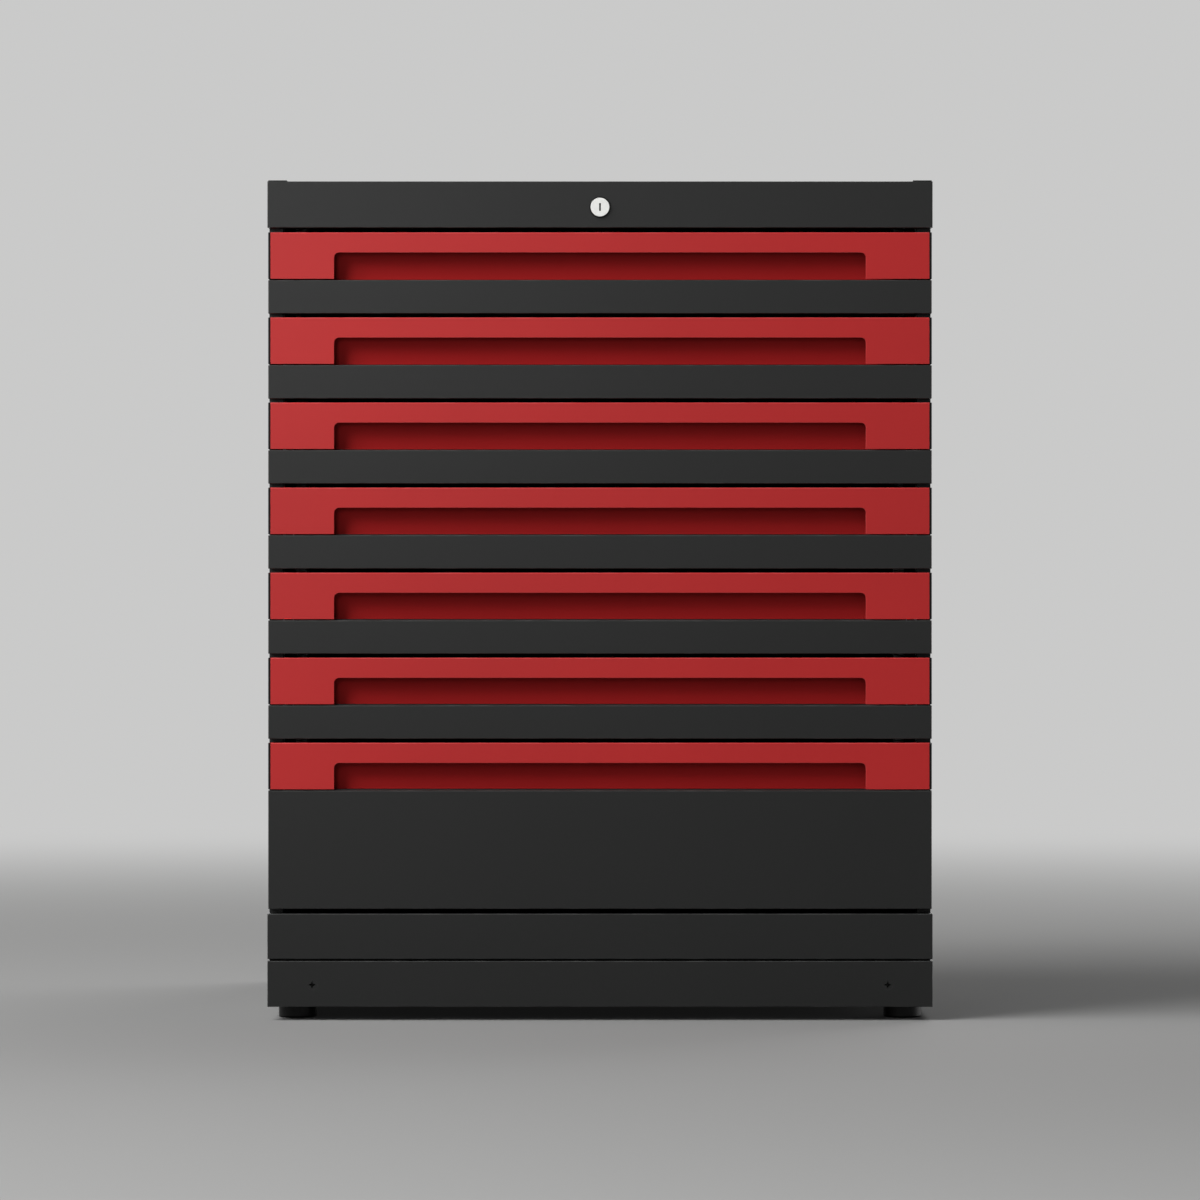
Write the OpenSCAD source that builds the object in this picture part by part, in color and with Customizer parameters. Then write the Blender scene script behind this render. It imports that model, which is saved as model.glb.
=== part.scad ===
// Tool cabinet with seven drawers: a folded sheet-steel carcass on a plinth, full-width drawer fronts
// with a recessed grip channel, telescopic runners, and a lock bar behind the drawers.
// Millimetres, +Z up, drawers open towards -Y. The origin lies on the floor, under the cabinet's middle.

/* [Carcass] */
// Width over the top cover, the lower rail and the plinth
cabinet_w = 782; // [640:1:1000]
// Depth from the drawer fronts to the back panel
cabinet_d = 650; // [520:1:800]
// How far each side panel stands in from the ends of the top cover
side_inset = 1; // [0.5:0.5:4]
// Thickness of the folded sheet of the panels, covers and drawer fronts
sheet_t = 1.2; // [0.8:0.1:1.6]
// Height of the fascia at the front of the top cover
fascia_h = 54.4; // [50:0.2:80]
// Height of the fixed rail under the lowest drawer
rail_h = 53.3; // [40:0.1:80]
// Width of the side panel flanges that lie on the top cover
top_flange_w = 22; // [12:1:40]
// Depth of the uprights, from the side panel to the runners
upright_d = 15; // [10:1:25]
// Width of the uprights, along the depth of the cabinet
upright_w = 40; // [25:1:60]
// Radius of the wall anchor holes in the back panel
anchor_r = 4.5; // [3:0.5:8]
// Distance of the wall anchor holes from the side panels
anchor_inset = 140; // [60:5:220]
// Distance of the wall anchor holes below the top
anchor_drop = 60; // [40:5:200]

/* [Base] */
// Height of the feet
foot_h = 16; // [12:1:40]
// Diameter of the feet
foot_d = 45; // [36:1:60]
// Distance of the foot centres from the sides of the plinth frame
foot_inset = 31.5; // [24:0.5:60]
// Distance of the foot centres from the front and the back of the plinth frame
foot_setback = 36; // [24:1:45]
// Bevel round the lower edge of the feet
foot_bevel = 1.5; // [0.5:0.5:4]
// Diameter of the foot bolts
foot_bolt_d = 10; // [6:1:12]
// Height of the plinth cover
plinth_h = 54; // [40:1:100]
// Open seam between the plinth cover and the lower rail
plinth_seam = 2.2; // [1:0.1:5]
// Flange width of the plinth frame's side channels
base_side_flange = 40; // [36:1:50]
// Flange width of the plinth frame's cross channels
base_cross_flange = 62; // [50:1:90]
// Sheet thickness of the plinth frame
base_t = 2; // [1.5:0.5:4]
// Distance of the plinth screws from the ends of the plinth cover
screw_inset = 52.7; // [20:0.1:120]
// Height of the plinth screws over the lower edge of the plinth cover
screw_lift = 26; // [14:1:40]
// Thread diameter of the plinth screws
screw_d = 6; // [4:1:8]

/* [Drawer fronts] */
// Height step from one drawer to the next
drawer_pitch = 100; // [88:1:160]
// Height step of the lowest drawer
deep_pitch = 200; // [100:1:300]
// Gap between two drawer fronts
drawer_gap = 4.8; // [2:0.1:8]
// Gap between the lowest drawer front and the lower rail
rail_gap = 5.7; // [2:0.1:10]
// Gap between the top drawer front and the fascia
fascia_gap = 5.6; // [2:0.1:10]
// How far each drawer front ends short of the top cover
front_inset = 1; // [0:0.5:4]
// Depth of the drawer fronts
front_d = 20; // [16:1:30]
// Gap between the drawer fronts and the carcass
front_gap = 2; // [1:0.5:4]
// Height of the red grip channel
grip_channel_h = 54.7; // [45:0.1:70]
// Seam between the grip channel and the front panel below it
grip_seam = 1.4; // [0.5:0.1:3]
// Wall of the grip channel
grip_wall = 2; // [1.2:0.1:3]
// Height of the finger opening in the grip channel
finger_h = 31; // [24:0.5:38]
// Closed length of the grip channel beside the finger opening, each end
finger_margin = 74.8; // [30:0.1:200]
// Corner radius of the finger opening
finger_r = 6; // [2:0.5:12]
// Thickness of the end caps of the grip channel
cap_t = 2.7; // [1.5:0.1:5]
// How far the end caps reach into the grip channel
cap_reach = 8; // [4:1:20]

/* [Drawer boxes] */
// Sheet thickness of the drawer boxes
box_t = 1.2; // [0.8:0.1:2]
// Height of the box floor over the lower edge of the drawer front
box_lift = 6; // [3:0.5:12]
// How far the box sides end below the top of the drawer front
box_drop = 21; // [12:1:30]
// Height of the folded hem along the top of the box sides
hem_h = 8; // [4:1:14]
// Room behind the drawer boxes, for the lock bar
rear_space = 58; // [52:1:90]

/* [Runners] */
// Height of the runners
runner_h = 45; // [40:1:52]
// Thickness of a closed runner, from the upright to the drawer box
runner_t = 13; // [12:0.5:20]
// Sheet thickness of the runners
runner_sheet = 1.2; // [1:0.1:1.6]
// Height of the ball track between two runner members
ball_space = 3.8; // [3:0.1:4.5]
// Running gap between the webs of two runner members
web_gap = 0.6; // [0.3:0.1:1.2]
// Height of the runner's middle over the lower edge of the drawer front
runner_lift = 38; // [32:1:44]
// Distance of the runners from the front of the carcass
runner_setback = 4; // [2:1:12]
// Distance of the runner ends from the back of the drawer box
runner_rear = 16; // [5:1:40]
// Length of a drawer runner that stays inside the carcass when the drawer is open
runner_hold = 10; // [5:1:60]

/* [Lock] */
// Distance of the lock's middle below the top
lock_drop = 30.4; // [25:0.1:34]
// Diameter of the key plug's face
lock_face_d = 22; // [18:0.5:24]
// Width of the collar round the key plug's face
lock_collar_w = 1.4; // [1:0.1:3]
// How far the collar stands out of the fascia
lock_collar_t = 2; // [1.5:0.1:3]
// How far the key plug's face stands out of the collar
lock_face_proud = 0.6; // [0.2:0.1:2]
// Diameter of the lock housing behind the fascia
lock_barrel_d = 19; // [16:0.5:19]
// Length of the lock housing behind the fascia
lock_barrel_l = 24; // [18:1:40]
// Diameter of the key plug inside the housing
lock_plug_d = 13; // [10:0.5:13]
// Length of the key slot
key_slot_l = 9; // [6:0.5:12]
// Width of the key slot
key_slot_w = 1.8; // [1:0.1:3]
// Diameter of the turning rod
lock_rod_d = 8; // [6:1:10]
// Radius on which the crank pin turns
crank_r = 7; // [5:0.5:8]
// Diameter of the crank pin
crank_pin_d = 6; // [4:0.5:6]
// Width of the lock bar
lock_bar_w = 36; // [32:1:50]
// Thickness of the lock bar
lock_bar_t = 3; // [2:0.5:5]
// Distance of the lock bar from the back of the cabinet
lock_bar_standoff = 22; // [14:1:22]
// Diameter of the pins that hold the drawers
catch_pin_d = 5; // [4:0.5:6]
// Height of the pins that hold the drawers
catch_pin_h = 9; // [8:0.5:10]
// Height of the catch arm over the lower edge of the drawer front
catch_lift = 50; // [48:1:56]

/* [Hidden] */
$fn = 48;
// How far a cutting tool runs past the face that it opens
cut = 1;
// Gap between sheets that are spot-welded to each other
weld_gap = 0.1;
// Running clearance of a round shaft in its hole, on the radius
shaft_gap = 0.06;
// Clearance of a sliding or plugged-in piece, each side
slide_gap = 0.3;

drawer_count = 7;
drawer_list = [1 : drawer_count];

// Heights, from the floor up
base_top_z = foot_h + plinth_h + plinth_seam;
floor_z = base_top_z + rail_h;
first_z = floor_z + rail_gap;
fascia_z = first_z + deep_pitch + (drawer_count - 1) * drawer_pitch - drawer_gap + fascia_gap;
top_z = fascia_z + fascia_h;
under_top_z = top_z - sheet_t;
function drawer_z(k) =
    k == drawer_count ? first_z : first_z + deep_pitch + (drawer_count - 1 - k) * drawer_pitch;
function drawer_h(k) = (k == drawer_count ? deep_pitch : drawer_pitch) - drawer_gap;
function channel_z(k) = drawer_z(k) + drawer_h(k) - grip_channel_h;

// Depths, from the front to the back; the lock face is the foremost point of the cabinet
lock_proud = lock_collar_t + lock_face_proud;
front_y = (lock_proud - cabinet_d) / 2;
carcass_y = front_y + front_d + front_gap;
back_y = front_y + cabinet_d;
box_front_y = front_y + front_d;
box_back_y = back_y - rear_space;

// Half widths, from the middle out to each side
cover_x = cabinet_w / 2;
side_x = cover_x - side_inset;
inner_x = side_x - sheet_t;
runner_x = inner_x - upright_d;
box_x = runner_x - runner_t;
front_x = cover_x - front_inset;
channel_x = front_x - cap_t;

// Runner members
runner_y = carcass_y + runner_setback;
runner_l = box_back_y - runner_rear - runner_y;
travel = runner_l - runner_hold;
middle_h = runner_h - 2 * (runner_sheet + ball_space);
inner_h = middle_h - 2 * (runner_sheet + ball_space);
middle_x = runner_x - runner_sheet - web_gap;

// Lock parts
lock_z = top_z - lock_drop;
lock_floor = 0.6;
lock_nut_t = 5;
lock_nut_rim = 5.5;
lock_nut_r = lock_barrel_d / 2 + lock_nut_rim;
lock_tail = 2;
lock_bar_y = back_y - lock_bar_standoff - lock_bar_t;
crank_side = crank_r * sin(45);
crank_t = 4;
crank_gap = 4;
crank_rim = 2;
crank_d = 2 * (crank_r + crank_rim) + crank_pin_d;
// The most that a steady lift lags behind the crank pin, as a share of its radius
crank_lag = 0.03;
crank_play = 0.1;
crank_slack = crank_lag * crank_r + crank_play;
bracket_t = 3;
bracket_w = 36;
bracket_foot = 18;
bracket_drop = 12;
bracket_gap = 6;
bracket_y = box_back_y + bracket_gap;

// Catches behind the drawers and the pins under them
catch_w = 24;
catch_t = 2;
catch_reach = 22;
catch_lip_h = 9;
catch_play = 3.5;
catch_clear = 2;
pin_y = box_back_y + catch_reach - catch_t - catch_play - catch_pin_d / 2;
finger_w = 16;
finger_t = 3;
finger_end = 5;
guide_h = 18;
guide_wall = 5;
guide_lift = 62;
guided_drawers = [1, 4, drawer_count];
lock_bar_end = 16;

function drawer_node(k, piece) = str("drawer_", k, "_", piece);

dark_coat = "#3b3d3b";
red_coat = "#b83a3c";
black_plastic = "#141414";
zinc = "#b9bcbd";
box_grey = "#55585a";
nickel = "#dcdedb";

// A block between two corners
module block(low, high) {
    translate(low) cube(high - low);
}

// The same piece on the right and on the left
module both_sides() {
    children();
    mirror([1, 0, 0]) children();
}

// A round bar along Y
module rod_y(x, z, y0, y1, d) {
    translate([x, y0, z]) rotate([-90, 0, 0]) cylinder(h = y1 - y0, d = d);
}

// A sheet folded back on its four sides, open behind
module pan(half_w, y0, y1, z0, z1) {
    difference() {
        block([-half_w, y0, z0], [half_w, y1, z1]);
        block([sheet_t - half_w, y0 + sheet_t, z0 + sheet_t], [half_w - sheet_t, y1 + cut, z1 - sheet_t]);
    }
}

// Right side panel: web, flanges in front and behind, and the flange that lies on the top cover
module side_panel() {
    block([inner_x, carcass_y, base_top_z], [side_x, back_y, top_z + sheet_t]);
    block([side_x - top_flange_w, front_y, top_z], [side_x, back_y, top_z + sheet_t]);
    block([runner_x, carcass_y, floor_z], [side_x, carcass_y + sheet_t, under_top_z]);
    block([runner_x, back_y - 2 * sheet_t, floor_z], [side_x, back_y - sheet_t, under_top_z]);
}

module side_panel_right() {
    color(dark_coat) side_panel();
}

module side_panel_left() {
    color(dark_coat) mirror([1, 0, 0]) side_panel();
}

module back_panel() {
    color(dark_coat) difference() {
        block([-inner_x, back_y - sheet_t, base_top_z], [inner_x, back_y, under_top_z]);
        both_sides()
            rod_y(side_x - anchor_inset, top_z - anchor_drop, back_y - sheet_t - cut, back_y + cut,
                  2 * anchor_r);
    }
}

// Top sheet with the fascia folded down at the front, bored for the lock
module top_cover() {
    color(dark_coat) difference() {
        union() {
            pan(cover_x, front_y, carcass_y, fascia_z, top_z);
            block([-inner_x, carcass_y - sheet_t, under_top_z], [inner_x, back_y, top_z]);
        }
        rod_y(0, lock_z, front_y - cut, front_y + sheet_t + cut, lock_barrel_d + 2 * shaft_gap);
    }
}

// Cabinet floor with the lower rail folded down at the front and a flange down at the back
module floor_tray() {
    rear = back_y - 2 * sheet_t;
    color(dark_coat) {
        pan(cover_x, front_y, carcass_y, base_top_z, floor_z);
        block([-inner_x, carcass_y - sheet_t, floor_z - sheet_t], [inner_x, rear, floor_z]);
        block([-inner_x, rear - sheet_t, base_top_z], [inner_x, rear, floor_z]);
    }
}

// Channel posts in the four corners, open towards the side panels
module upright(y0) {
    difference() {
        block([runner_x, y0, floor_z], [inner_x, y0 + upright_w, under_top_z]);
        block([runner_x + sheet_t, y0 + sheet_t, floor_z - cut],
              [inner_x + cut, y0 + upright_w - sheet_t, top_z]);
    }
}

module uprights() {
    color(zinc) both_sides() {
        upright(carcass_y + sheet_t);
        upright(runner_y + runner_l - upright_w);
    }
}

// Front channel of the plinth frame: a full-width web, and flanges between the side channels
module cross_channel() {
    flange_x = side_x - base_side_flange - weld_gap;
    block([-side_x, carcass_y, foot_h], [side_x, carcass_y + base_t, base_top_z]);
    for (z = [foot_h, base_top_z - base_t])
        block([-flange_x, carcass_y, z], [flange_x, carcass_y + base_cross_flange, z + base_t]);
}

// Right channel of the plinth frame, open inwards, with the foot bolt holes in its lower flange
module side_channel() {
    end_gap = base_t + weld_gap;
    difference() {
        block([side_x - base_side_flange, carcass_y + end_gap, foot_h],
              [side_x, back_y - end_gap, base_top_z]);
        block([side_x - base_side_flange - cut, carcass_y, foot_h + base_t],
              [side_x - base_t, back_y, base_top_z - base_t]);
        at_right_feet() translate([0, 0, foot_h - cut])
            cylinder(h = base_t + 2 * cut, d = foot_bolt_d + 2 * shaft_gap);
    }
}

// Welded frame that carries the cabinet on its feet
module plinth_frame() {
    color(dark_coat) {
        difference() {
            cross_channel();
            both_sides() rod_y(cover_x - screw_inset, foot_h + screw_lift, carcass_y - cut,
                               carcass_y + base_t + cut, screw_d + 2 * shaft_gap);
        }
        translate([0, carcass_y + back_y, 0]) mirror([0, 1, 0]) cross_channel();
        both_sides() side_channel();
    }
}

// Countersunk head outline, widened by a clearance
module countersunk(clear) {
    translate([0, front_y, 0]) rotate([-90, 0, 0])
        cylinder(h = screw_d / 2, d1 = 2 * screw_d + 2 * clear, d2 = screw_d + 2 * clear);
}

module plinth_cover() {
    color(dark_coat) difference() {
        pan(cover_x, front_y, carcass_y, foot_h, foot_h + plinth_h);
        both_sides() translate([cover_x - screw_inset, 0, foot_h + screw_lift]) countersunk(shaft_gap);
    }
}

// Countersunk screws with a cross recess, from the plinth cover into the plinth frame
module plinth_screws() {
    recess_l = 1.1 * screw_d;
    recess_w = 0.2 * screw_d;
    recess_h = 0.35 * screw_d;
    color(dark_coat) both_sides() translate([cover_x - screw_inset, 0, foot_h + screw_lift]) difference() {
        union() {
            countersunk(0);
            rod_y(0, 0, front_y + screw_d / 4, carcass_y + base_t + screw_d, screw_d);
        }
        for (turn = [0, 90]) rotate([0, turn, 0])
            block([-recess_l / 2, front_y - cut, -recess_w / 2],
                  [recess_l / 2, front_y + recess_h, recess_w / 2]);
    }
}

// One piece at the front foot and one at the rear foot of the right side
module at_right_feet() {
    for (y = [carcass_y + foot_setback, back_y - foot_setback])
        translate([side_x - foot_inset, y, 0]) children();
}

// Height of the bolt head's seat inside the foot
foot_seat_z = foot_h / 2;
foot_bolt_r = foot_bolt_d / 2;
bolt_head_r = 1.6 * foot_bolt_r;
bolt_head_h = 0.5 * foot_bolt_d;

module feet() {
    color(black_plastic) both_sides() at_right_feet() rotate_extrude() polygon([
        [bolt_head_r + slide_gap, 0],
        [foot_d / 2 - foot_bevel, 0],
        [foot_d / 2, foot_bevel],
        [foot_d / 2, foot_h],
        [foot_bolt_r + shaft_gap, foot_h],
        [foot_bolt_r + shaft_gap, foot_seat_z],
        [bolt_head_r + slide_gap, foot_seat_z]]);
}

// A bolt up through each foot and the plinth frame, with its nut on the frame
module foot_bolts() {
    nut_h = 0.8 * foot_bolt_d;
    nut_z = foot_h + base_t;
    color(zinc) both_sides() at_right_feet() {
        translate([0, 0, foot_seat_z - bolt_head_h]) cylinder(h = bolt_head_h, r = bolt_head_r);
        translate([0, 0, foot_seat_z - cut])
            cylinder(h = nut_z + nut_h - foot_seat_z + 2 * cut, r = foot_bolt_r);
        translate([0, 0, nut_z]) difference() {
            cylinder(h = nut_h, r = 1.95 * foot_bolt_r, $fn = 6);
            translate([0, 0, -cut]) cylinder(h = nut_h + 2 * cut, r = foot_bolt_r + shaft_gap);
        }
    }
}

// A channel along Y, open towards the middle of the cabinet
module runner_channel(x0, x1, h, z) {
    difference() {
        block([x0, runner_y, z - h / 2], [x1, runner_y + runner_l, z + h / 2]);
        block([x0 - cut, runner_y - cut, z - h / 2 + runner_sheet],
              [x1 - runner_sheet, runner_y + runner_l + cut, z + h / 2 - runner_sheet]);
    }
}

// Runner members that are fixed to the uprights, a pair for each drawer
module cabinet_runners() {
    color(zinc) for (k = drawer_list) both_sides()
        runner_channel(box_x + runner_sheet, runner_x, runner_h, drawer_z(k) + runner_lift);
}

// Middle runner members, each with two ball strips in its outer tracks and two in its inner tracks
module drawer_middle_runners(k) {
    z = drawer_z(k) + runner_lift;
    strip_l = runner_l - travel / 2 - runner_hold;
    strip = [ball_space, strip_l, ball_space - 2 * slide_gap];
    strip_x = (box_x + runner_x) / 2;
    front_strip_y = runner_y + strip_l / 2;
    rear_strip_y = runner_y + runner_l - strip_l / 2;
    color(zinc) both_sides() {
        runner_channel(box_x + web_gap, middle_x, middle_h, z);
        for (side = [-1, 1]) {
            translate([strip_x, rear_strip_y, z + side * (middle_h + ball_space) / 2])
                cube(strip, center = true);
            translate([strip_x, front_strip_y, z + side * (inner_h + ball_space) / 2])
                cube(strip, center = true);
        }
    }
}

// Runner members on the drawer box, open towards the side panels
module drawer_runners(k) {
    z = drawer_z(k) + runner_lift;
    color(zinc) both_sides() translate([box_x + middle_x - runner_sheet - web_gap, 0, 0]) mirror([1, 0, 0])
        runner_channel(box_x, middle_x - runner_sheet - web_gap, inner_h, z);
}

// Folded front panel below the grip channel
module drawer_front(k) {
    color(dark_coat)
        pan(front_x, front_y, box_front_y, drawer_z(k), channel_z(k) - grip_seam);
}

// Finger opening: square at the bottom, with two round upper corners
module finger_outline() {
    half_w = channel_x - finger_margin;
    translate([-half_w, -cut]) square([2 * half_w, finger_h - finger_r + cut]);
    translate([finger_r - half_w, -cut]) square([2 * (half_w - finger_r), finger_h + cut]);
    for (x = [finger_r - half_w, half_w - finger_r]) translate([x, finger_h - finger_r]) circle(r = finger_r);
}

// Grip channel, open below, with the finger opening through its front wall
module drawer_grip(k) {
    z = channel_z(k);
    color(red_coat) difference() {
        block([-channel_x, front_y, z], [channel_x, box_front_y, z + grip_channel_h]);
        block([-channel_x - cut, front_y + grip_wall, z - cut],
              [channel_x + cut, box_front_y - grip_wall, z + grip_channel_h - grip_wall]);
        translate([0, front_y + grip_wall + cut, z]) rotate([90, 0, 0])
            linear_extrude(grip_wall + 2 * cut) finger_outline();
    }
}

// Plates that close the ends of the grip channel, each with a plug that reaches into it
module drawer_end_caps(k) {
    z = channel_z(k);
    inset = grip_wall + slide_gap;
    color(black_plastic) both_sides() {
        block([channel_x, front_y, z], [front_x, box_front_y, z + grip_channel_h]);
        block([channel_x - cap_reach, front_y + inset, z],
              [channel_x, box_front_y - inset, z + grip_channel_h - inset]);
    }
}

// Box of welded sheets: floor, hemmed sides, front and back walls, and the catch on the back
module drawer_box(k) {
    z0 = drawer_z(k) + box_lift;
    z1 = drawer_z(k) + drawer_h(k) - box_drop;
    wall_y0 = box_front_y + box_t + weld_gap;
    wall_y1 = box_back_y - box_t - weld_gap;
    catch_z = drawer_z(k) + catch_lift;
    color(box_grey) {
        block([-box_x, wall_y0, z0], [box_x, wall_y1, z0 + box_t]);
        both_sides() {
            block([box_x - box_t, wall_y0, z0 + box_t + weld_gap], [box_x, wall_y1, z1]);
            block([box_x - 2 * box_t, wall_y0, z1 - hem_h], [box_x, wall_y1, z1]);
        }
        block([-box_x, box_front_y, z0], [box_x, box_front_y + box_t, drawer_z(k) + drawer_h(k) - grip_wall]);
        block([-box_x, box_back_y - box_t, z0], [box_x, box_back_y, z1]);
        block([-catch_w / 2, box_back_y + weld_gap, catch_z],
              [catch_w / 2, box_back_y + catch_reach, catch_z + catch_t]);
        block([-catch_w / 2, box_back_y + catch_reach - catch_t, catch_z - catch_lip_h],
              [catch_w / 2, box_back_y + catch_reach, catch_z - weld_gap]);
    }
}

// Housing with a collar that holds the key plug's face
module lock_housing() {
    bore = lock_plug_d + 2 * shaft_gap;
    color(black_plastic) difference() {
        union() {
            rod_y(0, lock_z, front_y - lock_collar_t, front_y, lock_face_d + 2 * lock_collar_w);
            rod_y(0, lock_z, front_y - cut, front_y + lock_barrel_l, lock_barrel_d);
        }
        rod_y(0, lock_z, front_y - lock_collar_t - cut, front_y - lock_floor + shaft_gap,
              lock_face_d + 2 * shaft_gap);
        rod_y(0, lock_z, front_y - lock_collar_t - cut, front_y + lock_barrel_l + cut, bore);
    }
}

module lock_nut() {
    color(zinc) translate([0, front_y + sheet_t, lock_z]) rotate([-90, 0, 0]) difference() {
        cylinder(h = lock_nut_t, r = lock_nut_r, $fn = 6);
        translate([0, 0, -cut]) cylinder(h = lock_nut_t + 2 * cut, d = lock_barrel_d + 2 * shaft_gap);
    }
}

// Key plug: round face with an upright key slot, and the turning core behind it
module lock_plug() {
    slot_depth = 6;
    color(nickel) difference() {
        union() {
            rod_y(0, lock_z, front_y - lock_proud, front_y - lock_floor, lock_face_d);
            rod_y(0, lock_z, front_y - lock_floor - cut, front_y + lock_barrel_l + lock_tail, lock_plug_d);
        }
        block([-key_slot_w / 2, front_y - lock_proud - cut, lock_z - key_slot_l / 2],
              [key_slot_w / 2, front_y - lock_proud + slot_depth, lock_z + key_slot_l / 2]);
    }
}

// Turning rod from the key plug to the back, with the crank disc and its pin
module lock_rod() {
    rod_y0 = front_y + lock_barrel_l + lock_tail;
    disc_y = lock_bar_y - crank_gap - crank_t;
    color(zinc) {
        rod_y(0, lock_z, rod_y0, disc_y + cut, lock_rod_d);
        rod_y(0, lock_z, disc_y, disc_y + crank_t, crank_d);
        rod_y(-crank_side, lock_z - crank_side, disc_y + cut, lock_bar_y + lock_bar_t + crank_gap,
              crank_pin_d);
    }
}

// Upright bar with the crank slot near its top, and a finger with a pin for each drawer
module lock_bar() {
    slot_x0 = -crank_r - crank_pin_d / 2 - slide_gap;
    slot_x1 = crank_pin_d / 2 + slide_gap - crank_side;
    slot_h = crank_pin_d / 2 + crank_slack;
    slot_z = lock_z - crank_side;
    color(zinc) {
        difference() {
            block([-lock_bar_w / 2, lock_bar_y, first_z + lock_bar_end],
                  [lock_bar_w / 2, lock_bar_y + lock_bar_t, slot_z + lock_bar_end]);
            block([slot_x0, lock_bar_y - cut, slot_z - slot_h],
                  [slot_x1, lock_bar_y + lock_bar_t + cut, slot_z + slot_h]);
        }
        for (k = drawer_list) {
            pin_z = drawer_z(k) + catch_lift - catch_lip_h - catch_clear;
            block([-finger_w / 2, pin_y - finger_end, pin_z - catch_pin_h - finger_t],
                  [finger_w / 2, lock_bar_y - weld_gap, pin_z - catch_pin_h]);
            translate([0, pin_y, pin_z - catch_pin_h + weld_gap])
                cylinder(h = catch_pin_h - weld_gap, d = catch_pin_d);
        }
    }
}

// Bracket under the top cover that carries the turning rod, and the guide blocks of the lock bar
module lock_brackets() {
    guide_x = lock_bar_w / 2 + guide_wall;
    color(zinc) {
        difference() {
            union() {
                block([-bracket_w / 2, bracket_y, lock_z - bracket_drop],
                      [bracket_w / 2, bracket_y + bracket_t, under_top_z]);
                block([-bracket_w / 2, bracket_y - bracket_foot, under_top_z - bracket_t],
                      [bracket_w / 2, bracket_y + bracket_t, under_top_z]);
            }
            rod_y(0, lock_z, bracket_y - cut, bracket_y + bracket_t + cut, lock_rod_d + 2 * shaft_gap);
        }
        for (k = guided_drawers) translate([0, 0, drawer_z(k) + guide_lift]) difference() {
            block([-guide_x, lock_bar_y - guide_wall, 0], [guide_x, back_y - sheet_t, guide_h]);
            block([-lock_bar_w / 2 - slide_gap, lock_bar_y - slide_gap, -cut],
                  [lock_bar_w / 2 + slide_gap, lock_bar_y + lock_bar_t + slide_gap, guide_h + cut]);
        }
    }
}

side_panel_left();
side_panel_right();
back_panel();
top_cover();
floor_tray();
uprights();
plinth_frame();
plinth_cover();
plinth_screws();
feet();
foot_bolts();
cabinet_runners();
lock_housing();
lock_nut();
lock_brackets();
lock_plug();
lock_rod();
lock_bar();
for (k = drawer_list) {
    drawer_front(k);
    drawer_grip(k);
    drawer_end_caps(k);
    drawer_box(k);
    drawer_runners(k);
    drawer_middle_runners(k);
}
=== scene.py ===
import math
import bmesh
import bpy
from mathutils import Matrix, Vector


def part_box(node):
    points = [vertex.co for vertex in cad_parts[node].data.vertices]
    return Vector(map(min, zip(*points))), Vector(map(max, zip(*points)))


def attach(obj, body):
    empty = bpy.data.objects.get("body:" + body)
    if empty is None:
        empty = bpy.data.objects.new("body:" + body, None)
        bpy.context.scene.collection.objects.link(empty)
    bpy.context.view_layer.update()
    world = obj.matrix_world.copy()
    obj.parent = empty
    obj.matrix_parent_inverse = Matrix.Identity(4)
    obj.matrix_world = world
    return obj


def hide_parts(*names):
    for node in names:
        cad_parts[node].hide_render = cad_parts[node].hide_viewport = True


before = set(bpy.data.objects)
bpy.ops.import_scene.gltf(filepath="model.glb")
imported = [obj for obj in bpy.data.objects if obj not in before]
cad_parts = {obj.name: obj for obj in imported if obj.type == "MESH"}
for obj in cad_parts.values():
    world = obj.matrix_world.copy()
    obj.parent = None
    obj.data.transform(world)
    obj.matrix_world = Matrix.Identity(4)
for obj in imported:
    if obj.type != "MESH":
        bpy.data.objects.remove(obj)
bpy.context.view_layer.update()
mm = 0.001

# Plinth frame: four steel channels, folded from 2 mm sheet, welded at the corners and powder-coated.
# It carries the carcass and takes the foot bolts. Every folded edge has a bend radius, every cut edge
# is only broken, and where an edge stands out the coat shows a little wear and a painted highlight.


def add(tree, kind, inputs=None, **settings):
    """A new node; a socket given as an input is linked, any other value is set."""
    made = tree.nodes.new(kind)
    for name, value in settings.items():
        setattr(made, name, value)
    for name, value in (inputs or {}).items():
        if isinstance(value, bpy.types.NodeSocket):
            tree.links.new(value, made.inputs[name])
        else:
            made.inputs[name].default_value = value
    return made


def new_finish(name):
    """An empty material: its node tree, its surface shader, and the piece's own coordinates in metres."""
    finish = bpy.data.materials.new(name)
    finish.use_nodes = True
    tree = finish.node_tree
    return finish, tree, tree.nodes["Principled BSDF"], add(tree, "ShaderNodeTexCoord").outputs["Object"]


def noise(tree, place, scale, detail):
    """A noise value at each place, with about scale grains to a metre."""
    return add(tree, "ShaderNodeTexNoise", {"Vector": place, "Scale": scale, "Detail": detail}).outputs["Fac"]


def between(tree, value, low, high, start=0.3, end=0.7):
    """A value that runs from start to end, as most of a noise does, spread over the range low to high."""
    limits = {"Value": value, "From Min": start, "From Max": end, "To Min": low, "To Max": high}
    return add(tree, "ShaderNodeMapRange", limits).outputs["Result"]


def blend_colour(tree, share, first, second):
    """A colour between two others; 0, 6, 7 and 2 are the Mix node's sockets for the share and the colours."""
    mixed = add(tree, "ShaderNodeMix", {0: share, 6: first, 7: second}, data_type="RGBA")
    return mixed.outputs[2]


def shade(colour, factor):
    """The same hue, lighter or darker, as the four numbers of a colour socket."""
    return (*(part * factor for part in colour), 1.0)


def clouded(tree, colour, cloud, spread):
    """A colour that a noise makes a little darker here and lighter there."""
    share = between(tree, cloud, 0.0, 1.0)
    return blend_colour(tree, share, shade(colour, 1 - spread), shade(colour, 1 + spread))


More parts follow.
